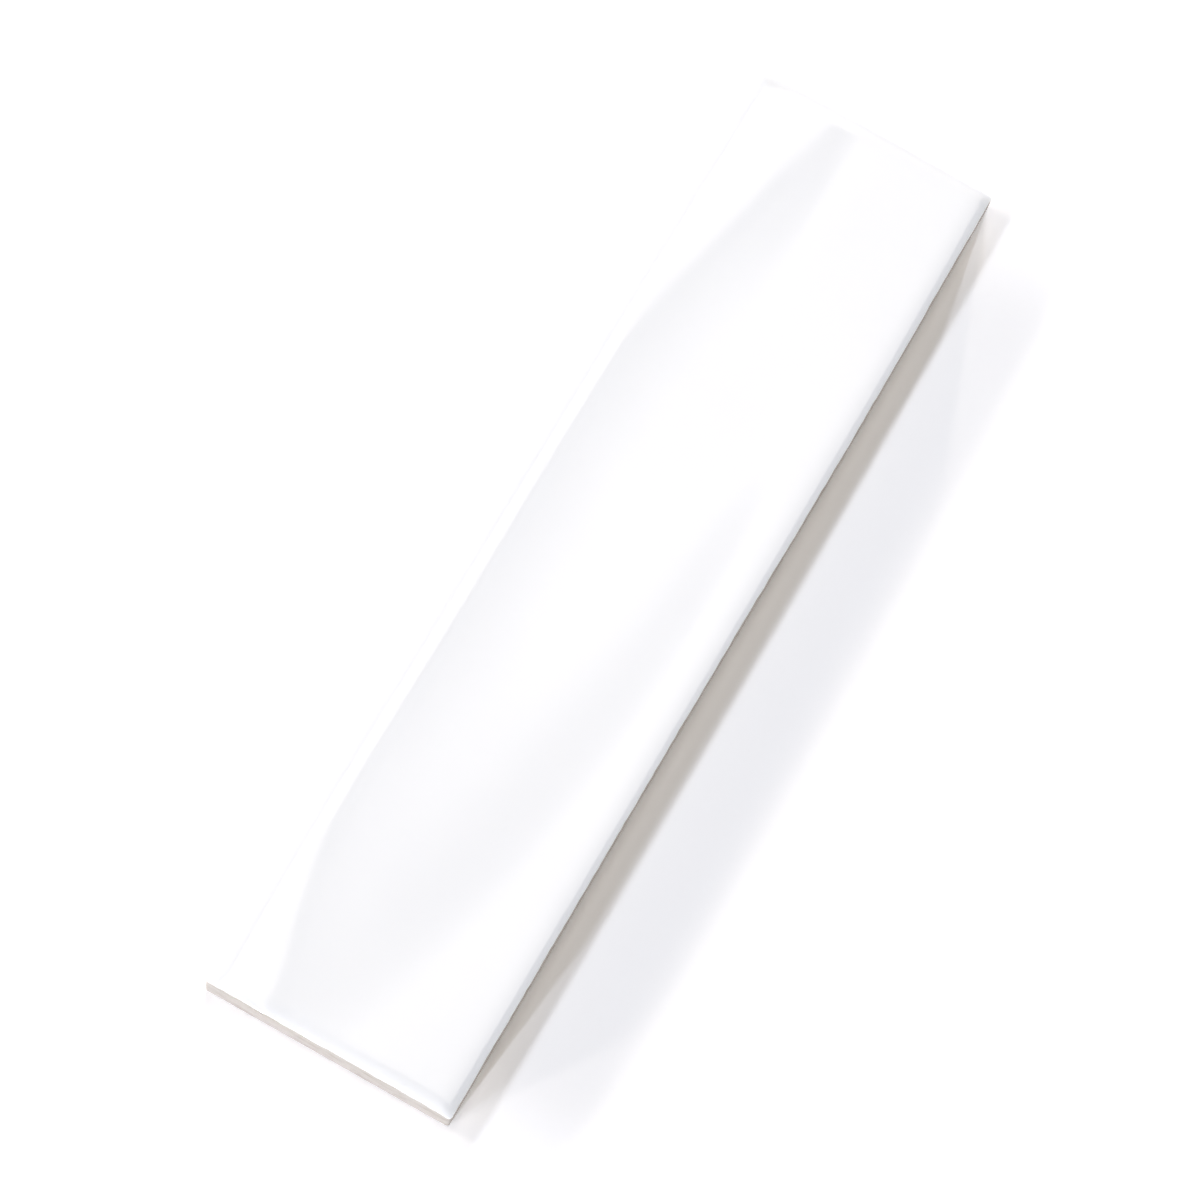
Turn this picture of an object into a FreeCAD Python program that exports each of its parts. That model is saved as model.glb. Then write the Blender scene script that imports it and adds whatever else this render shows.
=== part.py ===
import FreeCAD, Part
import math
import os

# A pressed and glazed ceramic wall tile with a hand-made look. It lies on its back, glazed face up.
# The origin is on the ground below its middle. X runs along the tile, Y across it and Z up.
# All sizes are in millimetres.

# Overall sizes. The thickness is that of the middle of the face
length = 300.0
width = 75.0
thickness = 10.0

# Outline: each long side bellies out once, where the soft clay spread in the mould
side_belly = 0.6
left_belly_place = -112.0
right_belly_place = 70.0
belly_reach = 62.0
corner_radius = 1.2

# Sides: narrower towards the back, so that the tile leaves the mould
side_draft = 0.25
back_bevel = 0.5

# Pillowed border of the glazed face, and the round where it meets the sides
pillow_drop = 0.9
pillow_reach_side = 7.1
pillow_reach_end = 6.1
pillow_power = 2.6
corner_blend = 4.0
arris_radius = 0.8

# Field of the glazed face: a crown that deepens towards the front end, leaning to the right
crown_fall = 0.22
front_droop = 0.69
front_droop_reach = 124.0
face_lean = 0.33

# The back end is twisted, right corner down, and its left corner droops a little
back_twist = 0.71
back_twist_reach = 123.0
corner_droop = 0.7
corner_droop_reach = 90.0
corner_droop_power = 4

# A low ridge along the right border, which swings inwards, widens and rises towards the back
ridge_height = 0.615
ridge_rise = 0.0031
ridge_inset = 2.4
ridge_slant = 0.028
ridge_bend = 0.00085
ridge_reach = 17.9
ridge_widening = 0.1025
ridge_stop = 89.0
ridge_fade = 29.0

# A flat hump along the middle of the front end
hump_height = 0.094
hump_inset = 20.0
hump_reach = 42.0
hump_half_width = 8.5

# Back: shallow keying pockets in a plain border, for the adhesive
border = 6.5
rib_width = 4.0
pocket_rows = 3
pocket_columns = 12
pocket_depth = 0.5
pocket_bevel = 0.4
pocket_corner = 2.0

# Spacing of the points that shape the face and the long sides
face_step = 4.0
side_step = 25.0


def belly(x, place):
    """How far a long side stands in from its widest line at x."""
    return side_belly * (1.0 - math.exp(-(((x - place) / belly_reach) ** 2)))


def left_edge(x):
    return width / 2 - belly(x, left_belly_place)


def right_edge(x):
    return -width / 2 + belly(x, right_belly_place)


def towards(end_distance, reach):
    """Share that grows from 0, at reach from an end of the tile, to 1 at that end, slowly at first."""
    return max(0.0, 1.0 - end_distance / reach) ** 2


def ridge(x, y):
    """Height of the ridge along the right border."""
    line = ridge_inset - width / 2 + ridge_slant * x + ridge_bend * x**2
    reach = ridge_reach - ridge_widening * x
    fade = 0.5 + 0.5 * math.tanh((length / 2 - ridge_stop - x) / ridge_fade)
    return (ridge_height - ridge_rise * x) * fade * math.exp(-(((y - line) / reach) ** 2))


def hump(x, y):
    """Height of the flat hump at the front end."""
    along = (x - length / 2 + hump_inset) / hump_reach
    return hump_height * math.exp(-(along**2) - (y / hump_half_width) ** 2)


def swell(x, y):
    """Rise of the wavy field over the middle of the face."""
    across = 2 * y / width
    from_front = length / 2 - x
    from_back = length / 2 + x
    fall = crown_fall + front_droop * towards(from_front, front_droop_reach)
    lean = face_lean + back_twist * towards(from_back, back_twist_reach)
    at_left = max(0.0, across) ** corner_droop_power
    droop = corner_droop * towards(from_back, corner_droop_reach) * at_left
    return lean * across - fall * across**2 - droop + ridge(x, y) + hump(x, y)


def border_fall(x, y):
    """Drop of the pillowed border, blended round the corners."""
    side_inset = min(left_edge(x) - y, y - right_edge(x))
    end_inset = length / 2 - abs(x)
    side = max(0.0, 1.0 - side_inset / pillow_reach_side)
    end = max(0.0, 1.0 - end_inset / pillow_reach_end)
    return pillow_drop * (side**corner_blend + end**corner_blend) ** (pillow_power / corner_blend)


def face_height(x, y):
    """Height of the glazed face over the ground."""
    return thickness - border_fall(x, y) + swell(x, y)


def side_curve(edge, inset, z):
    """One long side of the outline at height z, as a smooth curve from the back end to the front end."""
    reach = length / 2 - inset
    spans = max(8, round(length / side_step))
    points = []
    for k in range(spans + 1):
        x = reach * (2 * k / spans - 1)
        y = edge(x)
        points.append(FreeCAD.Vector(x, y - math.copysign(inset, y), z))
    curve = Part.BSplineCurve()
    curve.interpolate(points)
    return curve.toShape(), points[0], points[-1]


def outline(inset, z):
    """Closed plan outline at height z, standing in by inset."""
    left, left_back, left_front = side_curve(left_edge, inset, z)
    right, right_back, right_front = side_curve(right_edge, inset, z)
    front = Part.makeLine(left_front, right_front)
    back = Part.makeLine(right_back, left_back)
    return Part.Wire([left, front, right, back])


def pressed_blank():
    """Body of the tile with its drafted sides and rounded corners, taller than the finished face."""
    wires = [outline(side_draft, 0.0), outline(-side_draft, 2 * thickness)]
    body = Part.makeLoft(wires, True, True)
    corners = [edge for edge in body.Edges if edge.BoundBox.ZLength > thickness]
    body = body.makeFillet(corner_radius, corners)
    foot = [edge for edge in body.Edges if edge.BoundBox.ZMax < thickness / 2]
    return body.makeChamfer(back_bevel, foot)


def glazed_face():
    """Smooth surface of the glazed face, running past the outline on all sides."""
    overhang = 2 * face_step
    columns = math.ceil((length + 2 * overhang) / face_step)
    rows = math.ceil((width + 2 * overhang) / face_step)
    grid = []
    for i in range(columns + 1):
        x = (length + 2 * overhang) * (i / columns - 0.5)
        line = []
        for j in range(rows + 1):
            y = (width + 2 * overhang) * (j / rows - 0.5)
            line.append(FreeCAD.Vector(x, y, face_height(x, y)))
        grid.append(line)
    surface = Part.BSplineSurface()
    surface.interpolate(grid)
    return surface.toShape()


def soften_arris(solid):
    """Rounds the edge between the glazed face and the sides."""
    arris = [edge for edge in solid.Edges if edge.BoundBox.ZMin > thickness / 2]
    return solid.makeFillet(arris_radius, arris)


def pocket(x, y, long, wide):
    """Solid that presses one keying pocket into the back, bevelled round the pocket's floor."""
    corner = FreeCAD.Vector(x - long / 2, y - wide / 2, -pocket_depth)
    press = Part.makeBox(long, wide, 2 * pocket_depth, corner)
    upright = [edge for edge in press.Edges if edge.BoundBox.ZLength > pocket_depth]
    press = press.makeFillet(pocket_corner, upright)
    rim = [edge for edge in press.Edges if edge.BoundBox.ZMin > pocket_depth / 2]
    return press.makeChamfer(pocket_bevel, rim)


def keying_pockets():
    """All pockets of the back, in rows and columns between the ribs."""
    pitch_x = (length - 2 * border + rib_width) / pocket_columns
    pitch_y = (width - 2 * border + rib_width) / pocket_rows
    pockets = []
    for column in range(pocket_columns):
        for row in range(pocket_rows):
            x = (column - (pocket_columns - 1) / 2) * pitch_x
            y = (row - (pocket_rows - 1) / 2) * pitch_y
            pockets.append(pocket(x, y, pitch_x - rib_width, pitch_y - rib_width))
    return Part.makeCompound(pockets)


def tile():
    face = glazed_face()
    below = face.extrude(FreeCAD.Vector(0, 0, -3 * thickness))
    solid = pressed_blank().common(below).Solids[0]
    solid = soften_arris(solid)
    return solid.cut(keying_pockets()).Solids[0]


os.makedirs("parts", exist_ok=True)
shape = tile()
print("tile", shape.ShapeType, "valid", shape.isValid(), "volume", round(shape.Volume, 1))
print("box", shape.BoundBox)
shape.exportStep("parts/tile.step")
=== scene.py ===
import bpy
import math
import random
import numpy as np
from mathutils import Matrix, Vector


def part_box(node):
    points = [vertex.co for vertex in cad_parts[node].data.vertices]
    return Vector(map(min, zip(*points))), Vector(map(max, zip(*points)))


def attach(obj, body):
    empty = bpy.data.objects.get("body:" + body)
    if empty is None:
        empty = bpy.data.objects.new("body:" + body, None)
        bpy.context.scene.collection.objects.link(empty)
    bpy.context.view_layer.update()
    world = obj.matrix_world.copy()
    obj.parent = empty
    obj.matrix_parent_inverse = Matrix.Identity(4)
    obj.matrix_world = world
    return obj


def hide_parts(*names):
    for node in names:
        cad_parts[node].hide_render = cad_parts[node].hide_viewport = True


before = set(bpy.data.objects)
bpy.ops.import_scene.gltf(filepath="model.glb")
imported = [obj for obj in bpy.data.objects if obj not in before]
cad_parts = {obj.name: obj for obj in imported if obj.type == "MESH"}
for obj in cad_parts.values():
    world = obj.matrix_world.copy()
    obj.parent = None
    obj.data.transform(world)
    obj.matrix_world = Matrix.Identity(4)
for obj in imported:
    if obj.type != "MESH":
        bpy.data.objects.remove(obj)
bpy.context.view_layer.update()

# A glazed wall tile with a hand-made look, lying on its back on a pale floor.
# X runs along the tile, Y across it and Z up. Shapes are worked out in millimetres and built in metres.

mm = 0.001


def toLinear(hexColour):
    # sRGB hex to the linear colour that a shader socket takes
    channels = [int(hexColour[k:k + 2], 16) / 255 for k in (0, 2, 4)]
    return [c / 12.92 if c <= 0.04045 else ((c + 0.055) / 1.055) ** 2.4 for c in channels] + [1.0]


def addNode(tree, kind, settings=None, inputs=None):
    # settings go on the node itself; an input is a value, or another node's socket to link from
    node = tree.nodes.new(kind)
    for name, value in (settings or {}).items():
        setattr(node, name, value)
    for name, value in (inputs or {}).items():
        if isinstance(value, bpy.types.NodeSocket):
            tree.links.new(value, node.inputs[name])
        else:
            node.inputs[name].default_value = value
    return node


def emptyTree(owner):
    # the node tree of a new material or world, with nothing in it yet
    owner.use_nodes = True
    owner.node_tree.nodes.clear()
    return owner.node_tree


# shape of the tile
tileShape = {
    # outline: each long side bellies out once
    "length": 300.0, "width": 75.0, "thickness": 10.0,
    "sideBelly": 0.6, "leftBellyPlace": -112.0, "rightBellyPlace": 70.0, "bellyReach": 62.0,
    "cornerRadius": 1.2, "sideDraft": 0.25, "backBevel": 0.5,
    # pillowed border, and the round of the arris, which starts at this turn from the top in degrees
    "pillowDrop": 0.9, "pillowReachSide": 7.1, "pillowReachEnd": 6.1, "pillowPower": 2.6, "cornerBlend": 4.0,
    "arrisRadius": 0.8, "arrisStart": 17.0,
    # crown of the field, which deepens towards the front end and leans to the right
    "crownFall": 0.22, "frontDroop": 0.69, "frontDroopReach": 124.0, "faceLean": 0.33,
    # twist of the back end, and its drooping left corner
    "backTwist": 0.71, "backTwistReach": 123.0,
    "cornerDroop": 0.7, "cornerDroopReach": 90.0, "cornerDroopPower": 4,
    # ridge along the right border
    "ridgeHeight": 0.615, "ridgeRise": 0.0031, "ridgeInset": 2.4, "ridgeSlant": 0.028, "ridgeBend": 0.00085,
    "ridgeReach": 17.9, "ridgeWidening": 0.1025, "ridgeStop": 89.0, "ridgeFade": 29.0,
    # hump along the middle of the front end
    "humpHeight": 0.094, "humpInset": 20.0, "humpReach": 42.0, "humpHalfWidth": 8.5,
    # faint ripple of the fired glaze: height, number of waves, and their shortest and longest length
    "rippleHeight": 0.0012, "rippleCount": 26, "rippleShortest": 14.0, "rippleLongest": 60.0,
    # the glaze stops on the round of the arris, at this turn from the top in degrees, with a ragged edge
    "glazeThickness": 0.12, "glazeStop": 50.0, "glazeRagged": 5.5, "raggedShortest": 4, "raggedLongest": 60,
    # its lip: degrees past that edge, and how much of the thickness is gone there
    "glazeLip": ((3.0, 0.1), (6.0, 0.4), (8.0, 1.0)),
    # grain of the bare sides
    "sideGrain": 0.02, "grainShortest": 2.5, "grainLongest": 25,
    # keying pockets of the back
    "border": 6.5, "ribWidth": 4.0, "pocketRows": 3, "pocketColumns": 12, "pocketDepth": 0.5,
    "pocketBevel": 0.4, "pocketCorner": 2.0,
    # seeds of the ripple, of the ragged edge and of the first line of grain
    "rippleSeed": 11, "raggedSeed": 5, "grainSeed": 20,
}

# how finely the tile is meshed
meshing = {
    # cells of the face: finest beside the corners, then growing to these sizes along and across the tile
    "cornerCells": 4, "finestCell": 0.3, "cellAlong": 1.0, "cellAcross": 0.85, "cellGrowth": 1.12,
    # loops round the glazed arris, and waves that make up the noise along a loop
    "arrisLoops": 6, "loopWaves": 28,
    # loops of the bare arris, as shares of its turn, and of the sides, as shares of the way down
    "bareShares": (0.33, 0.66, 1.0), "sideShares": (0.08, 0.25, 0.45, 0.65, 0.85, 1.0),
    # lines round the floor of a pocket at this inset, and across it as shares of its half size
    "pocketRing": 1.2, "pocketLines": (-0.6, -0.2, 0.2, 0.6),
    # edges sharper than this stay crisp, in degrees
    "creaseAngle": 38.0,
}
shape = tileShape
halfLength, halfWidth = shape["length"] / 2, shape["width"] / 2


def edgeWidth(x, leftSide):
    # half width of the tile on one side, with its belly
    place = np.where(leftSide, shape["leftBellyPlace"], shape["rightBellyPlace"])
    return halfWidth - shape["sideBelly"] * (1 - np.exp(-((x - place) / shape["bellyReach"]) ** 2))


def towards(endDistance, reach):
    # grows from 0, at reach from an end of the tile, to 1 at that end
    return np.clip(1 - endDistance / reach, 0, None) ** 2


def swell(x, y):
    # rise of the wavy field over the middle of the face
    across = y / halfWidth
    fall = shape["crownFall"] + shape["frontDroop"] * towards(halfLength - x, shape["frontDroopReach"])
    lean = shape["faceLean"] + shape["backTwist"] * towards(halfLength + x, shape["backTwistReach"])
    atLeft = np.clip(across, 0, None) ** shape["cornerDroopPower"]
    droop = shape["cornerDroop"] * towards(halfLength + x, shape["cornerDroopReach"]) * atLeft
    line = shape["ridgeInset"] - halfWidth + shape["ridgeSlant"] * x + shape["ridgeBend"] * x ** 2
    reach = shape["ridgeReach"] - shape["ridgeWidening"] * x
    fade = 0.5 + 0.5 * np.tanh((halfLength - shape["ridgeStop"] - x) / shape["ridgeFade"])
    ridge = (shape["ridgeHeight"] - shape["ridgeRise"] * x) * fade * np.exp(-((y - line) / reach) ** 2)
    along = (x - halfLength + shape["humpInset"]) / shape["humpReach"]
    hump = shape["humpHeight"] * np.exp(-along ** 2 - (y / shape["humpHalfWidth"]) ** 2)
    return lean * across - fall * across ** 2 - droop + ridge + hump


def faceHeight(x, y):
    # height of the glazed face, pillow and swells together
    side = np.clip(1 - (edgeWidth(x, y > 0) - np.abs(y)) / shape["pillowReachSide"], 0, None)
    end = np.clip(1 - (halfLength - np.abs(x)) / shape["pillowReachEnd"], 0, None)
    blend = shape["cornerBlend"]
    pillow = shape["pillowDrop"] * (side ** blend + end ** blend) ** (shape["pillowPower"] / blend)
    return shape["thickness"] - pillow + swell(x, y)


def waves(seed, count, shortest, longest):
    # a smooth random surface as a sum of slow waves; lengths in millimetres, height about 1
    draw = random.Random(seed)
    terms = []
    for _ in range(count):
        wavelength = shortest * (longest / shortest) ** draw.random()
        turn = draw.uniform(0, 2 * math.pi)
        terms.append((math.cos(turn) / wavelength, math.sin(turn) / wavelength, draw.uniform(0, 2 * math.pi)))

    def height(x, y):
        total = 0
        for alongX, alongY, phase in terms:
            total = total + np.sin(2 * math.pi * (alongX * x + alongY * y) + phase)
        return total / math.sqrt(count)
    return height


def gradedLine(half, cornerZone, coarsest):
    # places from -half to half: equal cells in the corner zones, then cells that grow towards the middle
    inner, cornerCells = half - cornerZone, meshing["cornerCells"]
    steps, step, reached = [], meshing["finestCell"], 0.0
    while reached + step < inner:
        steps.append(step)
        reached += step
        step = min(step * meshing["cellGrowth"], coarsest)
    steps = np.array(steps) * inner / reached
    rising = np.concatenate([[0.0], np.cumsum(steps[::-1])])
    corner = inner + cornerZone * np.arange(1, cornerCells + 1) / cornerCells
    right = np.concatenate([rising, corner])
    return np.concatenate([-right[:0:-1], right])


def roundCorners(x, y, halfX, halfY, radius):
    # moves the points of a square grid so that its outline gets round corners
    u = np.clip((np.abs(x) - (halfX - radius)) / radius, 0, 1)
    v = np.clip((np.abs(y) - (halfY - radius)) / radius, 0, 1)
    inCorner = (u > 0) & (v > 0)
    nearX = halfX - radius + radius * u * np.sqrt(1 - v * v / 2)
    nearY = halfY - radius + radius * v * np.sqrt(1 - u * u / 2)
    return np.where(inCorner, np.sign(x) * nearX, x), np.where(inCorner, np.sign(y) * nearY, y)


def withBelly(x, y):
    # widens or narrows a plain outline to the bellied one
    return x, y * edgeWidth(x, y > 0) / halfWidth


class Surface:
    # gathers points and faces of one closed mesh
    def __init__(self):
        self.points, self.faces, self.kinds, self.count = [], [], [], 0

    def addPoints(self, x, y, z):
        block = np.stack(np.broadcast_arrays(x, y, z), -1)
        self.points.append(block.reshape(-1, 3))
        numbers = self.count + np.arange(block[..., 0].size).reshape(block.shape[:-1])
        self.count += numbers.size
        return numbers

    def addFaces(self, a, b, c, d, kind):
        quads = np.stack([a.ravel(), b.ravel(), c.ravel(), d.ravel()], -1)
        self.faces += quads.tolist()
        self.kinds += np.broadcast_to(kind, a.shape).ravel().tolist()


def rimOf(numbers):
    # the outer loop of a grid's point numbers, counter-clockwise from above, from the back right corner
    return np.concatenate([numbers[:-1, 0], numbers[-1, :-1], numbers[:0:-1, -1], numbers[0, :0:-1]])


glazeKind, biscuitKind, toastedShadeKind = 0, 1, 2


def buildTile():
    surface = Surface()
    radius, startTurn = shape["arrisRadius"], math.radians(shape["arrisStart"])
    faceInset = radius * (1 - math.sin(startTurn))
    cornerZone = shape["cornerRadius"] - faceInset
    ripple = waves(shape["rippleSeed"], shape["rippleCount"], shape["rippleShortest"], shape["rippleLongest"])

    # glazed face
    lineX = gradedLine(halfLength - faceInset, cornerZone, meshing["cellAlong"])
    lineY = gradedLine(halfWidth - faceInset, cornerZone, meshing["cellAcross"])
    plainX, plainY = np.meshgrid(lineX, lineY, indexing="ij")
    roundX, roundY = roundCorners(plainX, plainY, halfLength - faceInset, halfWidth - faceInset, cornerZone)
    x, y = withBelly(roundX, roundY)
    z = faceHeight(x, y) + shape["rippleHeight"] * ripple(x, y)
    top = surface.addPoints(x, y, z)
    surface.addFaces(top[:-1, :-1], top[1:, :-1], top[1:, 1:], top[:-1, 1:], glazeKind)

    # outline at any inset, as directions from the corner centres
    rimX, rimY, rimZ = rimOf(roundX), rimOf(roundY), z.ravel()[rimOf(top)]
    coreX = np.clip(rimX, -(halfLength - shape["cornerRadius"]), halfLength - shape["cornerRadius"])
    coreY = np.clip(rimY, -(halfWidth - shape["cornerRadius"]), halfWidth - shape["cornerRadius"])
    outX, outY = (rimX - coreX) / cornerZone, (rimY - coreY) / cornerZone
    along = np.cumsum(np.hypot(np.diff(rimX, prepend=rimX[-1]), np.diff(rimY, prepend=rimY[-1])))
    around = 2 * math.pi * along / along[-1]

    def ringAt(inset, height):
        # one loop round the tile; the draft narrows it towards the back
        reach = shape["cornerRadius"] - inset - shape["sideDraft"] * (1 - height / shape["thickness"])
        x, y = withBelly(coreX + outX * reach, coreY + outY * reach)
        return surface.addPoints(x, y, height)

    def loopNoise(seed, shortest, longest):
        # random height along the loop that closes on itself; lengths in millimetres
        draw = random.Random(seed)
        total = 0
        for _ in range(meshing["loopWaves"]):
            wavelength = shortest * (longest / shortest) ** draw.random()
            turns = max(1, round(along[-1] / wavelength))
            total = total + np.sin(turns * around + draw.uniform(0, 2 * math.pi))
        return total / math.sqrt(meshing["loopWaves"])

    def arrisRing(turn, coat):
        # one loop on the round of the arris, coat below its outermost skin
        reach = radius - coat
        return ringAt(radius - reach * np.sin(turn), arrisFoot + reach * np.cos(turn))

    # arris: the glaze runs from the slope of the pillow down to its ragged lip
    arrisFoot = rimZ - radius * math.cos(startTurn)
    ragged = np.clip(loopNoise(shape["raggedSeed"], shape["raggedShortest"], shape["raggedLongest"]), -2, 2)
    lip = np.radians(shape["glazeStop"] + shape["glazeRagged"] * ragged)
    rings, kinds = [rimOf(top)], []
    for k in range(1, meshing["arrisLoops"] + 1):
        rings.append(arrisRing(startTurn + (lip - startTurn) * k / meshing["arrisLoops"], 0.0))
        kinds.append(glazeKind)
    for further, gone in shape["glazeLip"]:
        bare = lip + math.radians(further)
        rings.append(arrisRing(bare, shape["glazeThickness"] * gone))
        kinds.append(glazeKind)

    # bare body from the lip round to the side, browned along the lip, where the darker ring is also a painted
    # shade line that outlines the edge
    for k, share in enumerate(meshing["bareShares"]):
        rings.append(arrisRing(bare + (math.pi / 2 - bare) * share, shape["glazeThickness"]))
        kinds.append(toastedShadeKind if k == 0 else biscuitKind)

    # sides with their grain, then the bevel of the back edge
    for k, share in enumerate(meshing["sideShares"]):
        height = arrisFoot + (shape["backBevel"] - arrisFoot) * share
        noise = loopNoise(shape["grainSeed"] + k, shape["grainShortest"], shape["grainLongest"])
        grain = shape["sideGrain"] * (1 + noise)
        rings.append(ringAt(shape["glazeThickness"] + grain, height))
        kinds.append(biscuitKind)
    rings.append(ringAt(shape["backBevel"] + grain, np.zeros_like(rimZ)))
    kinds.append(biscuitKind)
    for upper, lower, kind in zip(rings, rings[1:], kinds):
        surface.addFaces(upper, lower, np.roll(lower, -1), np.roll(upper, -1), kind)

    # back, with its keying pockets
    backX, backY, backZ = backGrid()
    back = surface.addPoints(backX, backY, backZ)
    surface.addFaces(back[:-1, :-1], back[:-1, 1:], back[1:, 1:], back[1:, :-1], biscuitKind)
    zipLoops(surface, rings[-1], rimOf(back))
    return surface


def backGrid():
    # grid of the back whose lines follow the pockets' edges
    wall = shape["pocketDepth"] - shape["pocketBevel"]
    insets = (0.0, wall, shape["pocketDepth"], meshing["pocketRing"], shape["pocketCorner"])

    def lineOf(total, number):
        # the grid's places in one direction, the centre of the pocket each belongs to, and a pocket's size
        pitch = (total - 2 * shape["border"] + shape["ribWidth"]) / number
        size = pitch - shape["ribWidth"]
        places, centres = [], []
        for k in range(number):
            centre = (k - (number - 1) / 2) * pitch
            left = [centre - size / 2 + inset for inset in insets]
            middle = [centre + (size / 2 - insets[-1]) * share for share in meshing["pocketLines"]]
            right = [centre + size / 2 - inset for inset in reversed(insets)]
            places += left + middle + right
            centres += [centre] * len(left + middle + right)
        return np.array(places), np.array(centres), size

    placesX, centresX, sizeX = lineOf(shape["length"], shape["pocketColumns"])
    placesY, centresY, sizeY = lineOf(shape["width"], shape["pocketRows"])
    plainX, plainY = np.meshgrid(placesX, placesY, indexing="ij")
    middleX, middleY = np.meshgrid(centresX, centresY, indexing="ij")
    x, y = roundCorners(plainX - middleX, plainY - middleY, sizeX / 2, sizeY / 2, shape["pocketCorner"])
    inside = np.minimum(sizeX / 2 - np.abs(plainX - middleX), sizeY / 2 - np.abs(plainY - middleY))
    return x + middleX, y + middleY, np.clip(inside, 0.0, shape["pocketDepth"])


def zipLoops(surface, outer, inner):
    # closes the flat gap between two loops of unlike length with triangles, seen from below
    points = np.concatenate(surface.points)

    def places(loop):
        flat = points[loop][:, :2]
        return np.arctan2(flat[:, 1] / halfWidth, flat[:, 0] / halfLength) % (2 * math.pi)
    outerTurn, innerTurn = places(outer), places(inner)
    outer, outerTurn = np.roll(outer, -outerTurn.argmin()), np.roll(outerTurn, -outerTurn.argmin())
    inner, innerTurn = np.roll(inner, -innerTurn.argmin()), np.roll(innerTurn, -innerTurn.argmin())
    outer, inner = np.append(outer, outer[0]), np.append(inner, inner[0])
    outerTurn, innerTurn = (np.append(turns, 2 * math.pi) for turns in (outerTurn, innerTurn))
    i = j = 0
    while i < len(outer) - 1 or j < len(inner) - 1:
        stepOuter = j == len(inner) - 1 or (i < len(outer) - 1 and outerTurn[i + 1] <= innerTurn[j + 1])
        if stepOuter:
            face = [outer[i], inner[j], outer[i + 1]]
            i += 1
        else:
            face = [outer[i], inner[j], inner[j + 1]]
            j += 1
        surface.faces.append([int(n) for n in face])
        surface.kinds.append(biscuitKind)


def meshOf(surface, name):
    # fits the mesh to the box of the solid it replaces and hands it to Blender
    points = np.concatenate(surface.points) * mm
    low, high = (np.array(corner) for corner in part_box("tile"))
    meshLow, meshHigh = points.min(0), points.max(0)
    points = low + (points - meshLow) * (high - low) / (meshHigh - meshLow)
    mesh = bpy.data.meshes.new(name)
    mesh.from_pydata(points.tolist(), [], surface.faces)
    mesh.polygons.foreach_set("material_index", surface.kinds)
    mesh.polygons.foreach_set("use_smooth", [True] * len(mesh.polygons))
    mesh.set_sharp_from_angle(angle=math.radians(meshing["creaseAngle"]))
    mesh.validate()
    made = bpy.data.objects.new(name, mesh)
    bpy.context.scene.collection.objects.link(made)
    return made


glazedTile = meshOf(buildTile(), "glazedTile")
print("tile built,", len(glazedTile.data.polygons), "faces")


def perMetre(size):
    # scale of a texture whose pattern has this size in millimetres
    return 1 / (size * mm)


# glossy white tin glaze: a fired glass coat, so it gives the eye sharp reflections over an opaque soft white
glaze = {
    "colour": "f3f4f4", "clouded": "f0f1f2", "cloudSize": 38.0,      # faint milky clouds, mm
    "roughness": 0.03, "roughnessSpread": 0.012, "ior": 1.55,
    "streakSize": 11.0, "streaksFrom": 0.3, "streaksTo": 0.7,        # where it is a little less glossy, mm
    "peelSize": 2.2, "peelHeight": 0.00035,                          # orange peel of the fired glass, mm
    "pitSpacing": 16.0, "pitSize": 0.22, "pitDepth": 0.03,           # pinholes from gas in the kiln, mm
}


def makeGlaze():
    material = bpy.data.materials.new("glossyWhiteGlaze")
    tree = emptyTree(material)
    place = addNode(tree, "ShaderNodeTexCoord").outputs["Object"]

    # faint milky clouds in the colour
    clouds = addNode(tree, "ShaderNodeTexNoise", {}, {
        "Vector": place, "Scale": perMetre(glaze["cloudSize"]), "Detail": 2.0})
    colour = addNode(tree, "ShaderNodeMix", {"data_type": "RGBA"}, {
        0: clouds.outputs["Fac"], 6: toLinear(glaze["colour"]), 7: toLinear(glaze["clouded"])})

    # gloss that varies a little
    streaks = addNode(tree, "ShaderNodeTexNoise", {}, {
        "Vector": place, "Scale": perMetre(glaze["streakSize"]), "Detail": 3.0})
    rough = addNode(tree, "ShaderNodeMapRange", {}, {
        "Value": streaks.outputs["Fac"], "From Min": glaze["streaksFrom"], "From Max": glaze["streaksTo"],
        "To Min": glaze["roughness"], "To Max": glaze["roughness"] + glaze["roughnessSpread"]})

    # pinholes, then the orange peel
    pits = addNode(tree, "ShaderNodeTexVoronoi", {}, {
        "Vector": place, "Scale": perMetre(glaze["pitSpacing"])})
    pitEdge = glaze["pitSize"] / glaze["pitSpacing"]
    pitShape = addNode(tree, "ShaderNodeMapRange", {"interpolation_type": "SMOOTHSTEP"}, {
        "Value": pits.outputs["Distance"], "From Min": 0.0, "From Max": pitEdge,
        "To Min": -1.0, "To Max": 0.0})
    peel = addNode(tree, "ShaderNodeTexNoise", {}, {
        "Vector": place, "Scale": perMetre(glaze["peelSize"]), "Detail": 1.0})
    peelBump = addNode(tree, "ShaderNodeBump", {}, {
        "Height": peel.outputs["Fac"], "Strength": 1.0, "Distance": glaze["peelHeight"] * mm})
    pitBump = addNode(tree, "ShaderNodeBump", {}, {
        "Height": pitShape.outputs["Result"], "Strength": 1.0, "Distance": glaze["pitDepth"] * mm,
        "Normal": peelBump.outputs["Normal"]})
    shader = addNode(tree, "ShaderNodeBsdfPrincipled", {}, {
        "Base Color": colour.outputs[2], "Roughness": rough.outputs["Result"], "IOR": glaze["ior"],
        "Normal": pitBump.outputs["Normal"]})
    addNode(tree, "ShaderNodeOutputMaterial", {}, {"Surface": shader.outputs["BSDF"]})
    return material


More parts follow.
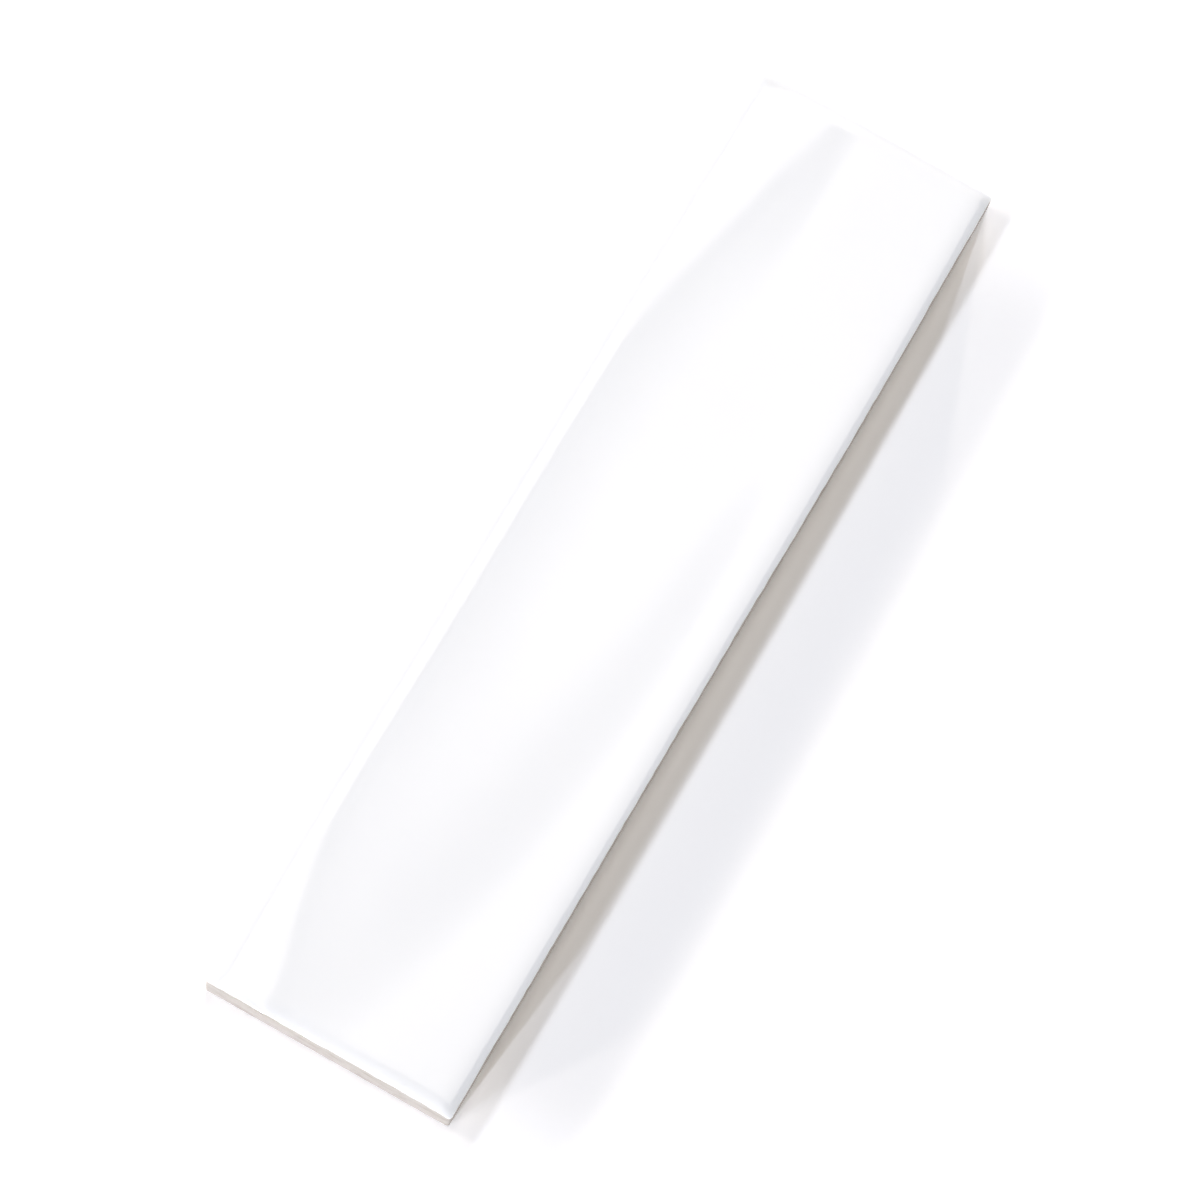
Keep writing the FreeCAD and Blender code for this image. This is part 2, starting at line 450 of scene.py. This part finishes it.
# pressed biscuit: bare fired clay, so it gives the eye a matt grey beige with soft patches, grain and specks
biscuit = {
    "colour": "a69f97", "darker": "8b8277", "patchSize": 7.0,
    "toastedShadeColour": "958571", "toastedShadeDarker": "776652",            # the browned line along the glaze, darkened further as a painted shade line round the edge
    "patchesFrom": 0.46, "patchesTo": 0.76,                          # the darker patches cover less than half
    "drag": 4.0,                                                     # and are this much longer than high
    "speck": "8f7a64", "speckSpacing": 3.2, "speckSize": 0.16, "speckStrength": 0.8,
    "grainSize": 0.35, "grainHeight": 0.012,                         # grit of the clay, mm
    "roughness": 0.85, "ior": 1.5,
}


def makeBiscuit(name, plain, darker):
    material = bpy.data.materials.new(name)
    tree = emptyTree(material)
    place = addNode(tree, "ShaderNodeTexCoord").outputs["Object"]

    # darker patches, dragged along the sides
    dragged = addNode(tree, "ShaderNodeVectorMath", {"operation": "MULTIPLY"}, {
        0: place, 1: (1.0, 1.0, biscuit["drag"])})
    patches = addNode(tree, "ShaderNodeTexNoise", {}, {
        "Vector": dragged.outputs[0], "Scale": perMetre(biscuit["patchSize"]),
        "Detail": 6.0, "Roughness": 0.7})
    patchShare = addNode(tree, "ShaderNodeMapRange", {}, {
        "Value": patches.outputs["Fac"],
        "From Min": biscuit["patchesFrom"], "From Max": biscuit["patchesTo"]})
    body = addNode(tree, "ShaderNodeMix", {"data_type": "RGBA"}, {
        0: patchShare.outputs["Result"], 6: toLinear(plain), 7: toLinear(darker)})

    # small brown specks
    specks = addNode(tree, "ShaderNodeTexVoronoi", {}, {
        "Vector": place, "Scale": perMetre(biscuit["speckSpacing"])})
    speckEdge = biscuit["speckSize"] / biscuit["speckSpacing"]
    speckShare = addNode(tree, "ShaderNodeMapRange", {"interpolation_type": "SMOOTHSTEP"}, {
        "Value": specks.outputs["Distance"], "From Min": 0.0, "From Max": speckEdge,
        "To Min": biscuit["speckStrength"], "To Max": 0.0})
    colour = addNode(tree, "ShaderNodeMix", {"data_type": "RGBA"}, {
        0: speckShare.outputs["Result"], 6: body.outputs[2], 7: toLinear(biscuit["speck"])})

    # grit of the clay
    grain = addNode(tree, "ShaderNodeTexNoise", {}, {
        "Vector": place, "Scale": perMetre(biscuit["grainSize"]), "Detail": 3.0})
    bump = addNode(tree, "ShaderNodeBump", {}, {
        "Height": grain.outputs["Fac"], "Strength": 1.0, "Distance": biscuit["grainHeight"] * mm})
    shader = addNode(tree, "ShaderNodeBsdfPrincipled", {}, {
        "Base Color": colour.outputs[2], "Roughness": biscuit["roughness"], "IOR": biscuit["ior"],
        "Normal": bump.outputs["Normal"]})
    addNode(tree, "ShaderNodeOutputMaterial", {}, {"Surface": shader.outputs["BSDF"]})
    return material


# in the order of the kinds of face
for finish in (makeGlaze(),
               makeBiscuit("pressedBiscuit", biscuit["colour"], biscuit["darker"]),
               makeBiscuit("toastedShadeBiscuit", biscuit["toastedShadeColour"], biscuit["toastedShadeDarker"])):
    glazedTile.data.materials.append(finish)
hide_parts("tile")
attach(glazedTile, "root")
print("materials made")


def seenDirectly(tree):
    # 1 for rays from the camera, and for those off what shines and through glass; 0 for the light itself
    path = addNode(tree, "ShaderNodeLightPath")
    shining = addNode(tree, "ShaderNodeMath", {"operation": "MAXIMUM"}, {
        0: path.outputs["Is Camera Ray"], 1: path.outputs["Is Glossy Ray"]})
    return addNode(tree, "ShaderNodeMath", {"operation": "MAXIMUM"}, {
        0: shining.outputs[0], 1: path.outputs["Is Transmission Ray"]}).outputs[0]


# plain pale floor, in metres, with painted light beyond the tile's ends; it turns pure white between near and
# far
floorLook = {
    "size": 12.0, "colour": "fafafa", "near": 0.45, "far": 0.9,
    "lift": 0.06, "liftColour": "ffedd8",                            # seen a little paler than it is lit
    "endPaintedLight": 0.2, "endPaintedLightColour": "f4f5ff",                           # and painted light that washes out the tile's shadows beyond its ends, fading in between these distances from its middle
    "paintedLightFrom": 0.12, "paintedLightTo": 0.16,                                  # so far from its middle
}


def makeFloor():
    half = floorLook["size"] / 2
    corners = [(-half, -half, 0), (half, -half, 0), (half, half, 0), (-half, half, 0)]
    mesh = bpy.data.meshes.new("floor")
    mesh.from_pydata(corners, [], [(0, 1, 2, 3)])
    floor = bpy.data.objects.new("floor", mesh)
    bpy.context.scene.collection.objects.link(floor)
    material = bpy.data.materials.new("paintedFloor")
    tree = emptyTree(material)
    seen = seenDirectly(tree)
    place = addNode(tree, "ShaderNodeTexCoord").outputs["Object"]

    # how far away the floor is, and how far beyond an end of the tile, where painted light washes out the
    # tile's shadows
    distance = addNode(tree, "ShaderNodeVectorMath", {"operation": "LENGTH"}, {0: place})
    far = addNode(tree, "ShaderNodeMapRange", {"interpolation_type": "SMOOTHSTEP"}, {
        "Value": distance.outputs["Value"], "From Min": floorLook["near"], "From Max": floorLook["far"]})
    farSeen = addNode(tree, "ShaderNodeMath", {"operation": "MULTIPLY"}, {0: far.outputs["Result"], 1: seen})
    parts = addNode(tree, "ShaderNodeSeparateXYZ", {}, {0: place})
    fromMiddle = addNode(tree, "ShaderNodeMath", {"operation": "ABSOLUTE"}, {0: parts.outputs["X"]})
    paintedLightShare = addNode(tree, "ShaderNodeMapRange", {"interpolation_type": "SMOOTHSTEP"}, {
        "Value": fromMiddle.outputs[0], "From Min": floorLook["paintedLightFrom"], "From Max": floorLook["paintedLightTo"]})

    # the paint with its lift and with painted light beyond the tile's ends, then pure white far away
    strength = addNode(tree, "ShaderNodeMath", {"operation": "MULTIPLY_ADD"}, {
        0: paintedLightShare.outputs["Result"], 1: floorLook["endPaintedLight"], 2: floorLook["lift"]})
    lift = addNode(tree, "ShaderNodeMath", {"operation": "MULTIPLY"}, {0: seen, 1: strength.outputs[0]})
    tint = addNode(tree, "ShaderNodeMix", {"data_type": "RGBA"}, {
        0: paintedLightShare.outputs["Result"], 6: toLinear(floorLook["liftColour"]), 7: toLinear(floorLook["endPaintedLightColour"])})
    lifted = addNode(tree, "ShaderNodeEmission", {}, {"Color": tint.outputs[2], "Strength": lift.outputs[0]})
    paint = addNode(tree, "ShaderNodeBsdfDiffuse", {}, {"Color": toLinear(floorLook["colour"])})
    near = addNode(tree, "ShaderNodeAddShader", {}, {0: paint.outputs[0], 1: lifted.outputs[0]})
    white = addNode(tree, "ShaderNodeEmission", {}, {"Color": (1, 1, 1, 1), "Strength": 1.0})
    mixed = addNode(tree, "ShaderNodeMixShader", {}, {
        0: farSeen.outputs[0], 1: near.outputs[0], 2: white.outputs[0]})
    addNode(tree, "ShaderNodeOutputMaterial", {}, {"Surface": mixed.outputs[0]})
    mesh.materials.append(material)
    return floor


floor = makeFloor()
print("floor laid")


# studio light: warm panels, with a narrow dark gap between the overhead and the left one, which the glaze
# mirrors as soft streaks
panels = {
    # limits as slopes from the tile: x from, x to, y from, y to, and brightness, where 1 is white
    "overheadPanel": (0.11, 0.5, -0.42, 0.098, 2.4),
    "leftPanel": (-0.2, 0.5, 0.115, 0.3, 2.4),
    "frontPanel": (0.5, 0.95, -0.35, 0.18, 2.2),
    "backPanel": (-0.35, 0.11, -0.2, 0.102, 1.0),
}
panelLook = {
    "height": 10.0, "colour": "fff9f2",                              # metres
    # the overhead panel's left edge fades out over this slope: so many panels, each this much higher
    "feather": 0.026, "featherSteps": 4, "featherRise": 0.02,
}

# low lamps all round, which give the tile's shadow its dark band and its pale one
lamps = {
    # elevation, turn from the left side towards the front end, light on a level floor, width of the lamp, and
    # colour; angles in degrees
    "backLamp": (8.0, -83.8, 0.165, 1.8, "eaf1ff"),
    "backHighLamp": (24.3, -66.0, 0.09, 4.0, "eaf1ff"),
    "frontLamp": (11.0, 80.0, 0.15, 2.2, "eaf1ff"),
    "frontHighLamp": (24.3, 66.0, 0.075, 4.0, "eaf1ff"),
    "leftLamp": (15.6, 0.0, 0.12, 4.0, "fff5ea"),
    "leftBackLamp": (9.0, -57.0, 0.054, 4.0, "fff5ea"),
    "leftFrontLamp": (5.8, 70.0, 0.07, 2.5, "fff5ea"),
    "rightLamp": (8.0, 180.0, 0.05, 20.0, "ffffff"),
}

# the dim room round the studio, by the height of the direction looked in, as its sine
room = {
    "tones": ("a2a4a8", "606066", "606066", "18181a"),               # horizon, walls from and to, ceiling
    "heights": (0.12, 0.2, 0.55, 0.85),
    "backdropTop": (0.2, 0.35),                                      # where the white backdrop fades out
}


def addPanel(name, limits, height):
    x0, x1, y0, y1, radiance = limits
    lamp = bpy.data.lights.new(name, "AREA")
    lamp.shape = "RECTANGLE"
    lamp.size, lamp.size_y = (x1 - x0) * height, (y1 - y0) * height
    lamp.energy = radiance * math.pi * lamp.size * lamp.size_y
    lamp.color = toLinear(panelLook["colour"])[:3]
    panel = bpy.data.objects.new(name, lamp)
    panel.location = ((x0 + x1) / 2 * height, (y0 + y1) / 2 * height, height)
    panel.visible_camera = False
    bpy.context.scene.collection.objects.link(panel)


def addLamp(name, elevation, turn, level, width, colour):
    lamp = bpy.data.lights.new(name, "SUN")
    lamp.angle = math.radians(width)
    lamp.energy = level * math.pi / math.sin(math.radians(elevation))
    lamp.color = toLinear(colour)[:3]
    sun = bpy.data.objects.new(name, lamp)
    sun.rotation_euler = (math.radians(elevation - 90), 0, math.radians(-turn))
    bpy.context.scene.collection.objects.link(sun)


def makeWorld():
    world = bpy.data.worlds.new("studio")
    bpy.context.scene.world = world
    tree = emptyTree(world)
    direction = addNode(tree, "ShaderNodeTexCoord").outputs["Generated"]
    parts = addNode(tree, "ShaderNodeSeparateXYZ", {}, {0: direction})
    walls = addNode(tree, "ShaderNodeValToRGB", {}, {0: parts.outputs["Z"]})
    ramp = walls.color_ramp
    while len(ramp.elements) < len(room["tones"]):
        ramp.elements.new(0.5)
    for stop, place, tone in zip(ramp.elements, room["heights"], room["tones"]):
        stop.position, stop.color = place, toLinear(tone)

    # the backdrop behind the floor is white to the camera, and in what shines
    low, high = room["backdropTop"]
    backdrop = addNode(tree, "ShaderNodeMapRange", {"interpolation_type": "SMOOTHSTEP"}, {
        "Value": parts.outputs["Z"], "From Min": low, "From Max": high, "To Min": 1.0, "To Max": 0.0})
    share = addNode(tree, "ShaderNodeMath", {"operation": "MULTIPLY"}, {
        0: backdrop.outputs["Result"], 1: seenDirectly(tree)})
    around = addNode(tree, "ShaderNodeMix", {"data_type": "RGBA"}, {
        0: share.outputs[0], 6: walls.outputs[0], 7: (1.0, 1.0, 1.0, 1.0)})
    sky = addNode(tree, "ShaderNodeBackground", {}, {"Color": around.outputs[2], "Strength": 1.0})
    addNode(tree, "ShaderNodeOutputWorld", {}, {"Surface": sky.outputs[0]})


def addFeatheredPanel(name, limits):
    # several panels of unlike width, one above the other, so that the left edge fades out
    x0, x1, y0, y1, radiance = limits
    steps = panelLook["featherSteps"]
    for step in range(steps):
        edge = y1 + panelLook["feather"] * ((step + 0.5) / steps - 0.5)
        height = panelLook["height"] * (1 + panelLook["featherRise"] * step)
        addPanel(name + str(step), (x0, x1, y0, edge, radiance / steps), height)


addFeatheredPanel("overheadPanel", panels["overheadPanel"])
for name in ("leftPanel", "frontPanel", "backPanel"):
    addPanel(name, panels[name], panelLook["height"])
for name, values in lamps.items():
    addLamp(name, *values)
makeWorld()
print("light set")


# camera at the photograph's angle
camera = {
    "place": (-629.5, -169.8, 1916.2),                               # mm from the middle of the tile's foot
    "aim": (-3.1, -0.07, 0.0),                                       # mm, the middle of the picture
    "roll": 14.76,                                                   # degrees
    "lens": 227.24, "sensor": 36.0,
}


def addCamera():
    lens = bpy.data.cameras.new("camera")
    lens.lens, lens.sensor_width = camera["lens"], camera["sensor"]
    lens.clip_start, lens.clip_end = 0.05, 100.0
    made = bpy.data.objects.new("camera", lens)
    bpy.context.scene.collection.objects.link(made)
    place, aim = Vector(camera["place"]) * mm, Vector(camera["aim"]) * mm
    looking = (aim - place).to_track_quat("-Z", "Y").to_matrix().to_4x4()
    roll = Matrix.Rotation(math.radians(camera["roll"]), 4, "Z")
    made.matrix_world = Matrix.Translation(place) @ looking @ roll
    bpy.context.scene.camera = made


addCamera()
bpy.context.scene.view_settings.view_transform = "Standard"
print("camera set")
